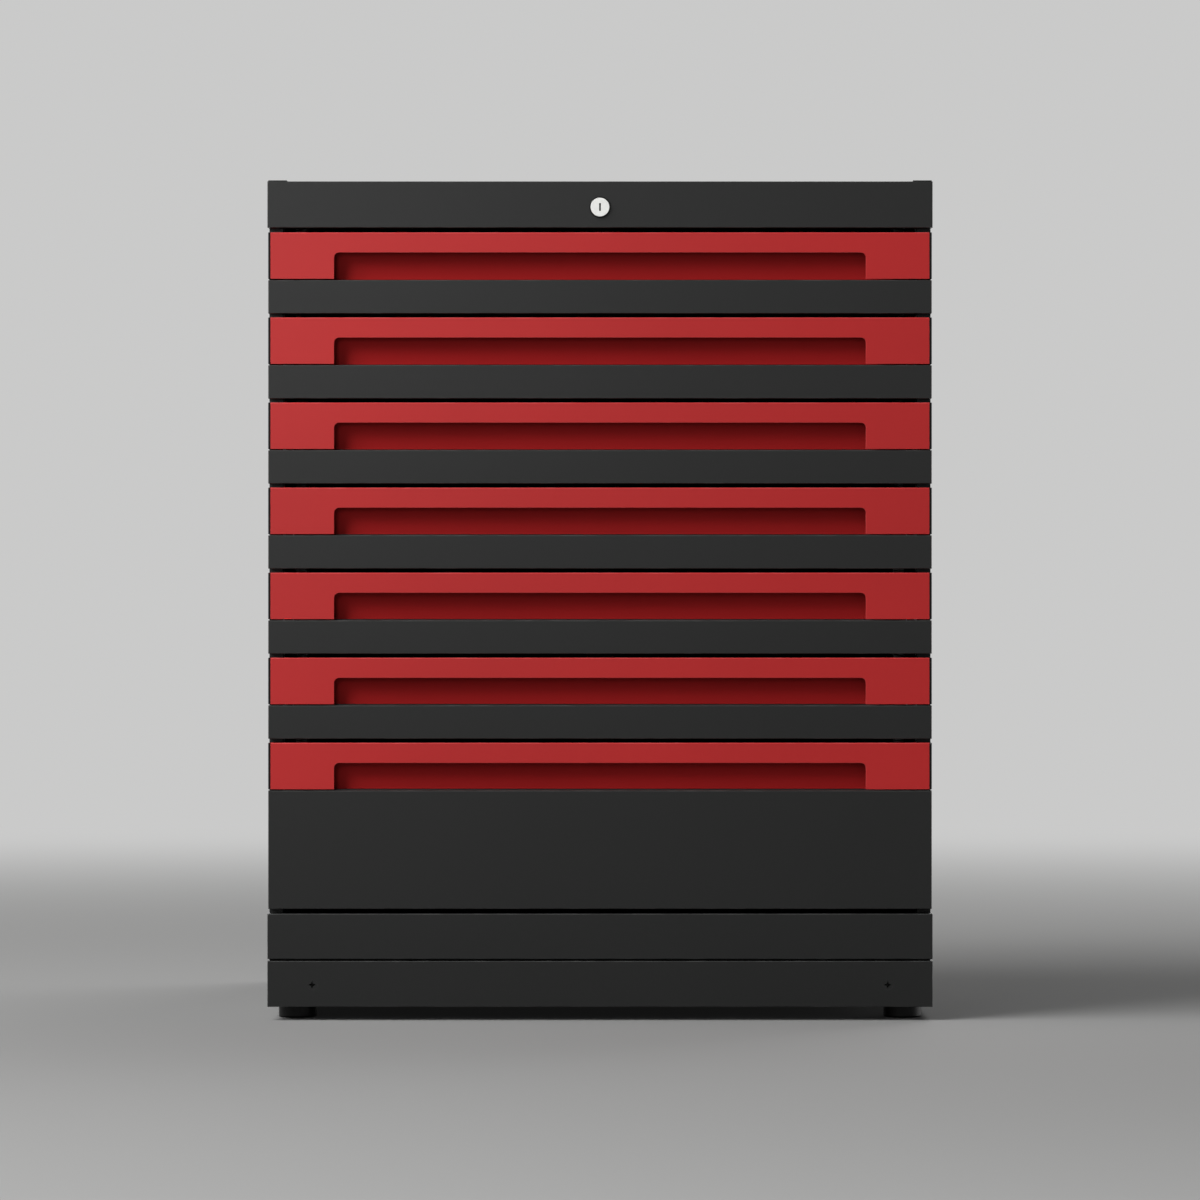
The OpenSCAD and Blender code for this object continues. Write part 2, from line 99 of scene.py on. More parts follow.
def lay_on(tree, surface, colour, roughness, relief, strength, depth):
    """Link a finish to its surface shader: colour, roughness, and a fine relief of that depth."""
    bump = add(tree, "ShaderNodeBump", {"Strength": strength, "Distance": depth, "Height": relief})
    tree.links.new(colour, surface.inputs["Base Color"])
    tree.links.new(roughness, surface.inputs["Roughness"])
    tree.links.new(bump.outputs["Normal"], surface.inputs["Normal"])


def powder_coat(name, colour, edge_wear_and_highlight, roughness=0.45, gloss=0.31):
    """Baked powder coat: faint clouding, orange peel and fine grain, with outer edges lighter in patches,
    partly wear and partly painted highlight.
    """
    finish, tree, surface, place = new_finish(name)
    cloud = noise(tree, place, scale=2.4, detail=3.0)
    peel = noise(tree, place, scale=360.0, detail=2.0)
    grain = noise(tree, place, scale=2200.0, detail=1.0)
    patch_noise = noise(tree, place, scale=45.0, detail=5.0)
    # Lighter outer edges: partly wear, partly painted highlight.
    edge = add(tree, "ShaderNodeAttribute", attribute_name="outer_edge").outputs["Fac"]
    patchy = between(tree, patch_noise, 0.12, 0.62, start=0.42, end=0.66)
    wear_and_highlight_mask = add(tree, "ShaderNodeMath", {0: edge, 1: patchy}, operation="MULTIPLY").outputs[0]
    coat = blend_colour(tree, wear_and_highlight_mask, clouded(tree, colour, cloud, 0.06), shade(edge_wear_and_highlight, 1.0))
    uneven = between(tree, grain, roughness - 0.05, roughness + 0.05)
    relief = add(tree, "ShaderNodeMath", {0: peel, 1: 2.5, 2: grain}, operation="MULTIPLY_ADD").outputs[0]
    lay_on(tree, surface, coat, uneven, relief, strength=0.5, depth=0.04 * mm)
    surface.inputs["Specular IOR Level"].default_value = gloss
    return finish


def merged(node, weld=0.002 * mm, flat=math.radians(1)):
    """A CAD node as one clean solid: its loose triangles joined and its flat faces made whole."""
    solid = bmesh.new()
    solid.from_mesh(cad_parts[node].data)
    bmesh.ops.remove_doubles(solid, verts=solid.verts, dist=weld)
    bmesh.ops.dissolve_limit(solid, angle_limit=flat, verts=solid.verts, edges=solid.edges)
    return solid


def face_width(face):
    """About how wide a flat face is: its area over its longest reach."""
    points = [vert.co for vert in face.verts]
    reach = max((a - b).length for a in points for b in points)
    return face.calc_area() / reach


def plain_mesh(piece):
    """The mesh that an object's modifiers give; the object itself is removed."""
    graph = bpy.context.evaluated_depsgraph_get()
    ready = piece.evaluated_get(graph)
    made = bpy.data.meshes.new_from_object(ready, preserve_all_data_layers=True, depsgraph=graph)
    made.name = piece.name
    bpy.data.objects.remove(piece)
    return made


def in_scene(name, data):
    """A new object at the origin with that mesh, lamp or camera."""
    piece = bpy.data.objects.new(name, data)
    bpy.context.scene.collection.objects.link(piece)
    return piece


def eased(name, solid, finish, fold, rim, wide=4 * mm, long=30 * mm, corner=math.radians(25)):
    """A solid as a mesh with eased edges: a long fold between wide faces gets the fold's bend radius, and
    every other outer edge is only broken by the rim's width."""
    weight = solid.edges.layers.float.new("bevel_weight_edge")
    width = {face: face_width(face) for face in solid.faces}
    for face in solid.faces:
        face.smooth = True
    for edge in solid.edges:
        angle = edge.calc_face_angle_signed(0.0)
        edge.smooth = angle > -corner
        if angle > corner:
            folded = edge.calc_length() > long and min(width[face] for face in edge.link_faces) > wide
            edge[weight] = 1.0 if folded else rim / fold
    mesh = bpy.data.meshes.new(name)
    solid.to_mesh(mesh)
    solid.free()
    # The bevel puts its faces in the second of two like finishes, which tells the outer edges, where the coat
    # gets its wear and painted highlight, from the rest.
    mesh.materials.append(finish)
    mesh.materials.append(finish)
    piece = in_scene(name, mesh)
    bevel = piece.modifiers.new("eased edges", "BEVEL")
    bevel.limit_method = "WEIGHT"
    bevel.width = fold
    bevel.segments = 3
    bevel.use_clamp_overlap = False
    bevel.material = 1
    piece.modifiers.new("flat faces stay flat", "WEIGHTED_NORMAL").keep_sharp = True
    mesh = plain_mesh(piece)
    outer = mesh.attributes.new("outer_edge", "FLOAT", "FACE")
    outer.data.foreach_set("value", [float(face.material_index) for face in mesh.polygons])
    mesh.polygons.foreach_set("material_index", [0] * len(mesh.polygons))
    mesh.materials.pop()
    return mesh


def shown(name, mesh, body, slot, *nodes):
    """A finished piece: it moves with a body and stands for CAD nodes, which it hides; the slot is not used.
    """
    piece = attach(in_scene(name, mesh), body)
    if nodes:
        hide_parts(*nodes)


dark_coat = powder_coat("anthracite_powder_coat", (0.0078, 0.0081, 0.0079), edge_wear_and_highlight=(0.05, 0.051, 0.05))
frame_mesh = eased("plinth_frame_welded", merged("plinth_frame"), dark_coat, fold=2 * mm, rim=0.3 * mm)
shown("plinth_frame_welded", frame_mesh, "cabinet", "dark_coat", "plinth_frame")

# Feet: four moulded discs of hard black plastic with a pocket below for the bolt head.
# A zinc-plated hexagon bolt and nut holds each one against the lower flange of the plinth frame.


def moulded_plastic(name, colour, roughness, gloss, grain_scale, grain_depth):
    """Moulded plastic: an even colour with a fine spark-eroded grain and slightly uneven gloss."""
    finish, tree, surface, place = new_finish(name)
    cloud = noise(tree, place, scale=30.0, detail=3.0)
    grain = noise(tree, place, scale=grain_scale, detail=2.0)
    uneven = between(tree, cloud, roughness - 0.04, roughness + 0.04)
    lay_on(tree, surface, clouded(tree, colour, cloud, 0.15), uneven, grain, strength=0.3, depth=grain_depth)
    surface.inputs["Specular IOR Level"].default_value = gloss
    return finish


def zinc_plate(name, colour, roughness):
    """Zinc-plated steel: rolling streaks along the strip and a faint cloudy passivation, warm and cool."""
    finish, tree, surface, place = new_finish(name)
    across = 420.0
    along = 9.0
    rolled = {"Vector": place, "Scale": (across, along, across)}
    strip = add(tree, "ShaderNodeMapping", rolled).outputs["Vector"]
    streak = noise(tree, strip, scale=1.0, detail=4.0)
    cloud = noise(tree, place, scale=38.0, detail=4.0)
    warm = tuple(part * tint for part, tint in zip(colour, (1.05, 1.02, 0.95)))
    cool = tuple(part * tint for part, tint in zip(colour, (0.92, 0.97, 1.03)))
    plate = blend_colour(tree, between(tree, cloud, 0.0, 1.0), shade(warm, 1.0), shade(cool, 1.0))
    uneven = between(tree, streak, roughness - 0.08, roughness + 0.1)
    lay_on(tree, surface, plate, uneven, streak, strength=0.15, depth=0.02 * mm)
    surface.inputs["Metallic"].default_value = 1.0
    return finish


black = (0.002, 0.002, 0.002)
foot_plastic = moulded_plastic("black_foot_plastic", black, roughness=0.38, gloss=0.22, grain_scale=900.0,
                               grain_depth=0.01 * mm)
zinc = zinc_plate("bright_zinc_plate", (0.56, 0.575, 0.59), roughness=0.34)
feet_mesh = eased("feet_moulded", merged("feet"), foot_plastic, fold=1 * mm, rim=0.8 * mm)
shown("feet_moulded", feet_mesh, "cabinet", "black_feet", "feet")
bolts_mesh = eased("foot_bolts_plated", merged("foot_bolts"), zinc, fold=0.6 * mm, rim=0.4 * mm)
shown("foot_bolts_plated", bolts_mesh, "cabinet", "zinc_steel", "foot_bolts")

# Plinth cover: a shallow pan of 1.2 mm sheet that closes the front of the plinth, coated like the carcass.
# Two countersunk M6 screws with a cross recess hold it; they are coated with it, and the walls of each recess
# are painted black as shade.

sheet_fold = 0.9 * mm
sheet_rim = 0.22 * mm
cover_mesh = eased("plinth_cover_folded", merged("plinth_cover"), dark_coat, sheet_fold, sheet_rim)
shown("plinth_cover_folded", cover_mesh, "cabinet", "dark_coat", "plinth_cover")


def node_group(name, **sizes):
    """An empty Geometry Nodes tree with an input for each size: the tree and the sockets of its inputs."""
    tree = bpy.data.node_groups.new(name, "GeometryNodeTree")
    tree.interface.new_socket("Points", in_out="INPUT", socket_type="NodeSocketGeometry")
    for size, kind in sizes.items():
        tree.interface.new_socket(size, in_out="INPUT", socket_type="NodeSocket" + kind)
    tree.interface.new_socket("Pieces", in_out="OUTPUT", socket_type="NodeSocketGeometry")
    return tree, tree.nodes.new("NodeGroupInput").outputs


def close_group(tree, pieces, finish):
    """End a tree: instances become real faces with a finish."""
    real = add(tree, "GeometryNodeRealizeInstances", {0: pieces}).outputs[0]
    done = add(tree, "GeometryNodeSetMaterial", {"Geometry": real, "Material": finish}).outputs[0]
    tree.links.new(done, tree.nodes.new("NodeGroupOutput").inputs[0])
    return tree


def grown(name, points, tree, facing=None, **sizes):
    """The plain mesh that a tree makes on points; where ways are given, each point's piece faces its own."""
    host = bpy.data.meshes.new(name)
    host.from_pydata([tuple(point) for point in points], [], [])
    if facing:
        ways = host.attributes.new("facing", "FLOAT_VECTOR", "POINT")
        ways.data.foreach_set("vector", [part for way in facing for part in way])
    piece = in_scene(name, host)
    modifier = piece.modifiers.new(name, "NODES")
    modifier.node_group = tree
    for item in tree.interface.items_tree:
        if item.in_out == "INPUT" and item.name in sizes:
            modifier[item.identifier] = sizes[item.name]
    return plain_mesh(piece)


def scaled(tree, value, factor):
    """A size socket times a factor."""
    return add(tree, "ShaderNodeMath", {0: value, 1: factor}, operation="MULTIPLY").outputs[0]


def along_z(tree, value):
    """A vector of that length along Z."""
    return add(tree, "ShaderNodeCombineXYZ", {"Z": value}).outputs[0]


def moved(tree, mesh, shift, turn=(0.0, 0.0, 0.0)):
    """A mesh socket, turned and then moved."""
    placing = {"Geometry": mesh, "Translation": shift, "Rotation": turn}
    return add(tree, "GeometryNodeTransform", placing).outputs[0]


def together(tree, *meshes):
    """Several mesh sockets as one."""
    join = add(tree, "GeometryNodeJoinGeometry")
    for mesh in meshes:
        tree.links.new(mesh, join.inputs[0])
    return join.outputs[0]


def drawn_up(tree, mesh, height, top_scale, faces=True):
    """Some faces of a mesh drawn up and scaled at their new height: the mesh, and which faces these are."""
    drawn = add(tree, "GeometryNodeExtrudeMesh", {"Mesh": mesh, "Selection": faces, "Offset Scale": height})
    top = drawn.outputs["Top"]
    shape = {"Geometry": drawn.outputs["Mesh"], "Selection": top, "Scale": top_scale}
    return add(tree, "GeometryNodeScaleElements", shape).outputs[0], top


def capped(tree, outline, height, top_scale):
    """A filled outline drawn up to a closed shape with a tapered top: the mesh, and which face is its top."""
    tapered, top = drawn_up(tree, outline, height, top_scale)
    below = add(tree, "GeometryNodeFlipFaces", {0: outline}).outputs[0]
    loose = together(tree, tapered, below)
    closed = add(tree, "GeometryNodeMergeByDistance", {"Geometry": loose, "Distance": 0.001 * mm})
    return closed.outputs[0], top


def cross_screw(name, finish):
    """A tree that sets a countersunk screw on each point: its cone, its shank and a cross recess."""
    tree, size = node_group(name, **{"Thread radius": "Float", "Length": "Float", "Recess radius": "Float"})
    thread = size["Thread radius"]
    recess = size["Recess radius"]
    length = size["Length"]
    below_head = scaled(tree, thread, -1.0)
    head_radius = scaled(tree, thread, 2.0)
    cone = {"Vertices": 48, "Radius Top": head_radius, "Radius Bottom": thread, "Depth": thread}
    head = add(tree, "GeometryNodeMeshCone", cone).outputs["Mesh"]
    head = moved(tree, head, along_z(tree, below_head))
    star = {"Points": 4, "Inner Radius": scaled(tree, recess, 0.44), "Outer Radius": recess}
    cross = add(tree, "GeometryNodeCurveStar", star).outputs["Curve"]
    cross = add(tree, "GeometryNodeFillCurve", {"Curve": cross}).outputs[0]
    recess_depth = scaled(tree, thread, 0.9)
    punch = capped(tree, cross, recess_depth, top_scale=0.3)[0]
    above_face = (0.0, 0.0, 0.02 * mm)
    punch = moved(tree, punch, above_face, turn=(math.pi, 0.0, 0.0))
    head = add(tree, "GeometryNodeMeshBoolean", {"Mesh 1": head, "Mesh 2": punch}, operation="DIFFERENCE",
               solver="EXACT").outputs[0]
    shank = add(tree, "GeometryNodeMeshCylinder", {"Vertices": 32, "Radius": thread, "Depth": length})
    shank_middle = add(tree, "ShaderNodeMath", {0: length, 1: -0.5, 2: below_head}, operation="MULTIPLY_ADD")
    shank = moved(tree, shank.outputs["Mesh"], along_z(tree, shank_middle.outputs[0]))
    screw = together(tree, head, shank)
    facing_front = (math.pi / 2, 0.0, 0.0)
    setting = {"Points": size["Points"], "Instance": screw, "Rotation": facing_front}
    return close_group(tree, add(tree, "GeometryNodeInstanceOnPoints", setting).outputs[0], finish)


def second_finish(mesh, finish, chosen):
    """Another finish on the faces whose middle is chosen."""
    mesh.materials.append(finish)
    for face in mesh.polygons:
        if chosen(face.center):
            face.material_index = 1


low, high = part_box("plinth_screws")
thread = 3 * mm
recess = 4.6 * mm
face_skin = 0.02 * mm
head_y = low.y
screw_x = high.x - 2 * thread
screw_z = (low.z + high.z) / 2
screw_points = [(side * screw_x, head_y, screw_z) for side in (-1, 1)]
screws_mesh = grown("plinth_screws_countersunk", screw_points, cross_screw("cross_screw", dark_coat),
                    **{"Thread radius": thread, "Length": high.y - low.y - thread, "Recess radius": recess})
# Black for the walls of the screws' cross recesses and of the keyway: painted shade.
painted_shade_black = moulded_plastic("painted_shade_recess", black, roughness=0.7, gloss=0.05, grain_scale=1500.0,
                               grain_depth=0.01 * mm)
recess_bottom = head_y + 0.95 * thread
recess_reach = 1.2 * thread


def in_cross_recess(at):
    """A place on the walls of a screw's recess, under the face of its head."""
    under_face = head_y + face_skin < at.y < recess_bottom
    return under_face and math.hypot(abs(at.x) - screw_x, at.z - screw_z) < recess_reach


# The walls of each cross recess get the black of painted shade.
second_finish(screws_mesh, painted_shade_black, in_cross_recess)
shown("plinth_screws_countersunk", screws_mesh, "cabinet", "dark_screws", "plinth_screws")

# Carcass: floor tray, two side panels, back panel and top cover, folded from 1.2 mm steel sheet,
# spot-welded to each other and powder-coated anthracite. The top flanges of the sides lie on the top cover,
# and the coat leaves the shallow prints of the spot welds to be seen on the sides and the back.

for panel in ("floor_tray", "side_panel_left", "side_panel_right", "back_panel", "top_cover"):
    panel_mesh = eased(panel + "_folded", merged(panel), dark_coat, sheet_fold, sheet_rim)
    shown(panel + "_folded", panel_mesh, "cabinet", "dark_coat", panel)


def round_heads(name, finish):
    """A tree that sets a low round head on each point, facing the way that the point says."""
    tree, size = node_group(name, Radius="Float", Height="Float")
    circle = {"Vertices": 16, "Radius": size["Radius"]}
    disc = add(tree, "GeometryNodeMeshCircle", circle, fill_type="NGON").outputs[0]
    drum_height = scaled(tree, size["Height"], 0.6)
    crown_height = scaled(tree, size["Height"], 0.4)
    drum, top = capped(tree, disc, drum_height, top_scale=0.86)
    head = drawn_up(tree, drum, crown_height, top_scale=0.6, faces=top)[0]
    way = add(tree, "GeometryNodeInputNamedAttribute", {"Name": "facing"}, data_type="FLOAT_VECTOR")
    turn = add(tree, "FunctionNodeAlignRotationToVector", {"Vector": way.outputs[0]}, axis="Z").outputs[0]
    setting = {"Points": size["Points"], "Instance": head, "Rotation": turn}
    return close_group(tree, add(tree, "GeometryNodeInstanceOnPoints", setting).outputs[0], finish)


weld_radius = 3 * mm
weld_rise = 0.25 * mm
weld_rows = 8
weld_pitch = 110 * mm
weld_start = 60 * mm
weld_edge = 7.5 * mm
post_width = 40 * mm
post_low, post_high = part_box("uprights")
wall_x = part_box("side_panel_right")[1].x
low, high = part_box("back_panel")
weld_heights = [low.z + weld_start + row * weld_pitch for row in range(weld_rows)]
weld_points = [(side * (high.x - weld_edge), high.y, z) for z in weld_heights for side in (-1, 1)]
weld_ways = [(0.0, 1.0, 0.0) for point in weld_points]
for side in (-1, 1):
    for y in (post_low.y + post_width / 2, post_high.y - post_width / 2):
        weld_points += [(side * wall_x, y, z) for z in weld_heights]
        weld_ways += [(float(side), 0.0, 0.0) for z in weld_heights]
welds_mesh = grown("spot_weld_prints", weld_points, round_heads("weld_print", dark_coat), weld_ways,
                   Radius=weld_radius, Height=weld_rise)
shown("spot_weld_prints", welds_mesh, "cabinet", "dark_coat")

# Uprights: four channel posts of zinc-plated 1.2 mm sheet in the corners of the carcass, open towards the
# side panels and welded to them. The web has a row of punched slots to hook the runners in.


def bent(corners, radii, steps=5):
    """A line through corners in a plane, with an arc of its bend radius at each inner one."""
    corners = [Vector(corner) for corner in corners]
    line = [corners[0]]
    for before, corner, after, radius in zip(corners, corners[1:], corners[2:], radii):
        back = (before - corner).normalized()
        onward = (after - corner).normalized()
        half = back.angle(onward) / 2
        centre = corner + (back + onward).normalized() * radius / math.sin(half)
        first = corner + back * radius / math.tan(half) - centre
        last = corner + onward * radius / math.tan(half) - centre
        line += [centre + first.slerp(last, step / steps).normalized() * radius for step in range(steps + 1)]
    return line + [corners[-1]]


def split_at(line, levels):
    """The line with a point added wherever its second coordinate crosses one of the levels."""
    split = [line[0]]
    for here, there in zip(line, line[1:]):
        span = there[1] - here[1]
        shares = [(level - here[1]) / span for level in levels] if abs(span) > 0.01 * mm else []
        split += [here.lerp(there, share) for share in sorted(shares) if 0.001 < share < 0.999]
        split.append(there)
    return split


def slot_stops(start, end, pitch, width):
    """Places along a strip: its two ends, and between them the two sides of each slot of a row."""
    count = int((end - start) / pitch) - 1
    first = (start + end - (count - 1) * pitch) / 2
    sides = [first + step * pitch + half * width / 2 for step in range(count) for half in (-1, 1)]
    return [start, *sides, end]


def folded_strip(name, line, stops, place, wall, punched=None, holes=(), hole_radius=0.0):
    """Sheet folded along a line and drawn out from stop to stop. Cells that punched() names are left out,
    and each hole, given by its first stop and point, is a ring in a block of four by four cells."""
    block = 4
    steps = range(block)
    in_blocks = {(row + i, cell + j) for row, cell in holes for i in steps for j in steps}
    strip = bmesh.new()
    grid = [[strip.verts.new(place(*point, stop)) for point in line] for stop in stops]
    for row in range(len(stops) - 1):
        here = grid[row]
        there = grid[row + 1]
        for cell in range(len(line) - 1):
            open_cell = punched and punched(row, (line[cell] + line[cell + 1]) / 2)
            if not open_cell and (row, cell) not in in_blocks:
                strip.faces.new((here[cell], there[cell], there[cell + 1], here[cell + 1]))
    around = [(0, step) for step in steps] + [(step, block) for step in steps]
    around += [(block, block - step) for step in steps] + [(block - step, 0) for step in steps]
    for row, cell in holes:
        outer = [grid[row + i][cell + j] for i, j in around]
        middle = grid[row + block // 2][cell + block // 2].co
        inner = [strip.verts.new(middle + (vert.co - middle).normalized() * hole_radius) for vert in outer]
        for step in range(len(around)):
            following = (step + 1) % len(around)
            strip.faces.new((outer[step], outer[following], inner[following], inner[step]))
    bmesh.ops.delete(strip, geom=[vert for vert in strip.verts if not vert.link_faces], context="VERTS")
    bmesh.ops.recalc_face_normals(strip, faces=strip.faces)
    mesh = bpy.data.meshes.new(name)
    strip.to_mesh(mesh)
    strip.free()
    piece = in_scene(name, mesh)
    sheet = piece.modifiers.new("sheet thickness", "SOLIDIFY")
    sheet.thickness = wall
    sheet.offset = 0.0
    sheet.use_even_offset = True
    return plain_mesh(piece)


def joined(name, meshes, finish, crease=math.radians(32)):
    """Several meshes as one, with bends shaded smooth and cut edges sharp."""
    whole = bmesh.new()
    for mesh in meshes:
        whole.from_mesh(mesh)
        bpy.data.meshes.remove(mesh)
    bmesh.ops.recalc_face_normals(whole, faces=whole.faces)
    for face in whole.faces:
        face.smooth = True
        face.material_index = 0
    for edge in whole.edges:
        edge.smooth = edge.calc_face_angle(0.0) < crease
    mesh = bpy.data.meshes.new(name)
    whole.to_mesh(mesh)
    whole.free()
    mesh.materials.clear()
    mesh.materials.append(finish)
    return mesh


sheet_wall = 1.2 * mm
half_wall = sheet_wall / 2
post_bend = 1.4 * mm
hook_pitch = 25 * mm
hook_height = 12 * mm
hook_half_width = 2 * mm
web_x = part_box("cabinet_runners")[1].x + half_wall
hook_stops = slot_stops(post_low.z, post_high.z, hook_pitch, hook_height)
posts = []
for side in (-1, 1):
    for post_y in (post_low.y, post_high.y - post_width):
        front_y = post_y + half_wall
        back_y = post_y + post_width - half_wall
        middle_y = post_y + post_width / 2
        corners = [(post_high.x, front_y), (web_x, front_y), (web_x, back_y), (post_high.x, back_y)]
        hook_sides = (middle_y - hook_half_width, middle_y + hook_half_width)
        posts.append(folded_strip(
            "post", split_at(bent(corners, (post_bend, post_bend)), hook_sides), hook_stops,
            lambda x, y, z: (side * x, y, z), sheet_wall,
            punched=lambda row, at: row % 2 == 1 and abs(at[1] - middle_y) < hook_half_width))
shown("uprights_plated", joined("uprights_plated", posts, zinc), "cabinet", "zinc_steel", "uprights")

# Fixed runner members: a pair for each drawer, rolled from 1.2 mm strip into a channel whose lips close round
# the balls, zinc-plated and screwed to the uprights.

hole_grid = 3 * mm
grid_lines = (-2, -1, 0, 1, 2)
runner_bend = 1.9 * mm
lip_bend = 1.1 * mm


def runner_member(side, web_x, lip_x, middle_z, half_height, lip, y_stops, holes=(), hole_radius=0.0):
    """One rolled runner member: a web, a flange above and below, and a lip on each flange if it has one."""
    corners = [(lip_x, half_height), (web_x, half_height), (web_x, -half_height), (lip_x, -half_height)]
    radii = [runner_bend, runner_bend]
    if lip:
        corners = [(lip_x, half_height - lip), *corners, (lip_x, lip - half_height)]
        radii = [lip_bend, *radii, lip_bend]
    line = split_at(bent(corners, radii), [step * hole_grid for step in grid_lines])
    hole_edge = grid_lines[-1] * hole_grid
    first = next(index for index, point in enumerate(line) if abs(abs(point[1]) - hole_edge) < 0.01 * mm)
    return folded_strip("runner_member", line, y_stops, lambda x, z, y: (side * x, y, middle_z + z),
                        sheet_wall, holes=[(row, first) for row in holes], hole_radius=hole_radius)


def hole_stops(start, end, count):
    """Places along a runner for a row of round holes, its ends and five lines through each hole, and the
    numbers of the lines that each hole starts with."""
    step = (end - start) / count
    middles = [start + (hole + 0.5) * step for hole in range(count)]
    lines = [middle + line * hole_grid for middle in middles for line in grid_lines]
    return [start, *lines, end], range(1, len(lines), len(grid_lines))


drawers = [f"drawer_{k}" for k in range(1, 8)]
low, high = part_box("cabinet_runners")
upright_x = high.x
box_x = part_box("drawer_1_box")[1].x
runner_ends = (low.y, high.y)
runner_stops, runner_holes = hole_stops(*runner_ends, count=6)
runner_height = 45 * mm
fixed_lip = 2.7 * mm
screw_hole = 3.2 * mm
members = []
for drawer in drawers:
    low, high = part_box(drawer + "_middle_runners")
    for side in (-1, 1):
        members.append(runner_member(
            side, upright_x - half_wall, box_x + sheet_wall + half_wall, (low.z + high.z) / 2,
            runner_height / 2 - half_wall, fixed_lip, runner_stops, runner_holes, screw_hole))
shown("cabinet_runners_plated", joined("cabinet_runners_plated", members, zinc), "cabinet", "zinc_steel",
      "cabinet_runners")

# Lock: a black zinc-alloy housing with a glossy collar in the fascia, a nickel-plated key plug whose keyway
# walls are painted black as shade, and behind it the hexagon nut, the turning rod with its crank, the lock
# bar and their brackets, all zinc-plated and rough, their zinc painted darker as shade behind the fascia.


def satin_nickel(name, colour, roughness, axis_point):
    """Satin nickel plate with the fine rings that facing on a lathe leaves round the plug's axis."""
    finish, tree, surface, place = new_finish(name)
    centred = add(tree, "ShaderNodeVectorMath", {0: place, 1: axis_point}, operation="SUBTRACT").outputs[0]
    turning = {"Vector": centred, "Scale": 900.0, "Distortion": 0.6, "Detail": 2.0}
    rings = add(tree, "ShaderNodeTexWave", turning, wave_type="RINGS", rings_direction="Y").outputs["Fac"]
    haze = noise(tree, place, scale=300.0, detail=3.0)
    uneven = between(tree, rings, roughness - 0.04, roughness + 0.06, start=0.0, end=1.0)
    lay_on(tree, surface, clouded(tree, colour, haze, 0.04), uneven, rings, strength=0.12, depth=0.01 * mm)
    surface.inputs["Metallic"].default_value = 1.0
    return finish


low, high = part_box("lock_plug")
plug_axis = Vector(((low.x + high.x) / 2, low.y, (low.z + high.z) / 2))
keyway_half_width = 1.25 * mm
keyway_half_height = 4.9 * mm
keyway_depth = 7 * mm


def in_keyway(at):
    """A place on the walls of the keyway, under the face of the plug."""
    off = at - plug_axis
    in_outline = abs(off.x) < keyway_half_width and abs(off.z) < keyway_half_height
    return in_outline and face_skin < off.y < keyway_depth


collar_black = moulded_plastic("black_lock_collar", black, roughness=0.3, gloss=0.12, grain_scale=1500.0,
                               grain_depth=0.005 * mm)
# The parts behind the fascia get a rougher zinc, painted darker as shade behind the fascia.
shade_darkened_zinc = zinc_plate("shade_darkened_zinc_plate", (0.24, 0.245, 0.25), roughness=0.64)
nickel = satin_nickel("satin_nickel", (0.70, 0.70, 0.68), roughness=0.42, axis_point=plug_axis)
housing_mesh = eased("lock_housing_cast", merged("lock_housing"), collar_black, fold=0.4 * mm, rim=0.3 * mm)
shown("lock_housing_cast", housing_mesh, "cabinet", "black_collar", "lock_housing")
plug_mesh = eased("lock_plug_plated", merged("lock_plug"), nickel, fold=0.2 * mm, rim=0.15 * mm)
# The keyway walls get the black of painted shade.
second_finish(plug_mesh, painted_shade_black, in_keyway)
shown("lock_plug_plated", plug_mesh, "key_plug", "nickel", "lock_plug")
for node, body in (("lock_nut", "cabinet"), ("lock_brackets", "cabinet"), ("lock_rod", "key_plug"),
                   ("lock_bar", "lock_bar")):
    lock_mesh = eased(node + "_plated", merged(node), shade_darkened_zinc, fold=0.5 * mm, rim=0.2 * mm)
    shown(node + "_plated", lock_mesh, body, "zinc_steel", node)

# Drawer fronts: a dark folded pan below and a red grip channel above it, whose front wall has the finger
# opening. Black moulded caps close the ends of the channel. The fronts are screwed to the drawer boxes.

red = (0.405, 0.0145, 0.015)
# The hollow of the grip gets a darker red with little gloss: painted shade in the recess.
pocket_shade_red = tuple(part * 0.88 for part in red)
red_coat = powder_coat("red_powder_coat", red, edge_wear_and_highlight=(0.5, 0.06, 0.06))
pocket_shade_red_coat = powder_coat("pocket_shade_red_powder_coat", pocket_shade_red, edge_wear_and_highlight=red, roughness=0.6, gloss=0.06)
cap_plastic = moulded_plastic("black_cap_plastic", (0.003, 0.003, 0.003), roughness=0.5, gloss=0.12,
                              grain_scale=1200.0, grain_depth=0.03 * mm)
grip_wall = 2 * mm


def inside_grip(at, low, high):
    """A place in the hollow of the channel, which gets a darker red as painted shade."""
    behind_front = at.y > low.y + 0.9 * grip_wall
    return behind_front and at.y < high.y - 0.5 * grip_wall and at.z < high.z - 0.5 * grip_wall


for drawer in drawers:
    front = drawer + "_front"
    front_mesh = eased(front + "_folded", merged(front), dark_coat, sheet_fold, sheet_rim)
    shown(front + "_folded", front_mesh, drawer, "dark_coat", front)
    grip = drawer + "_grip"
    grip_mesh = eased(grip + "_channel", merged(grip), red_coat, fold=1 * mm, rim=0.35 * mm, wide=6 * mm)
    # Painted shade: the hollow of the channel in the darker red.
    second_finish(grip_mesh, pocket_shade_red_coat, lambda at: inside_grip(at, *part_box(grip)))
    shown(grip + "_channel", grip_mesh, drawer, "red_coat", grip)
    caps = drawer + "_end_caps"
    caps_mesh = eased(caps + "_moulded", merged(caps), cap_plastic, fold=0.5 * mm, rim=0.4 * mm)
    shown(caps + "_moulded", caps_mesh, drawer, "black_caps", caps)

# Drawer boxes: sides and floor folded from one 1.2 mm sheet with a round hem along the top, front and back
# walls welded in, and a folded catch on the back. The walls have rows of slots for dividers; the coat is
# grey powder.

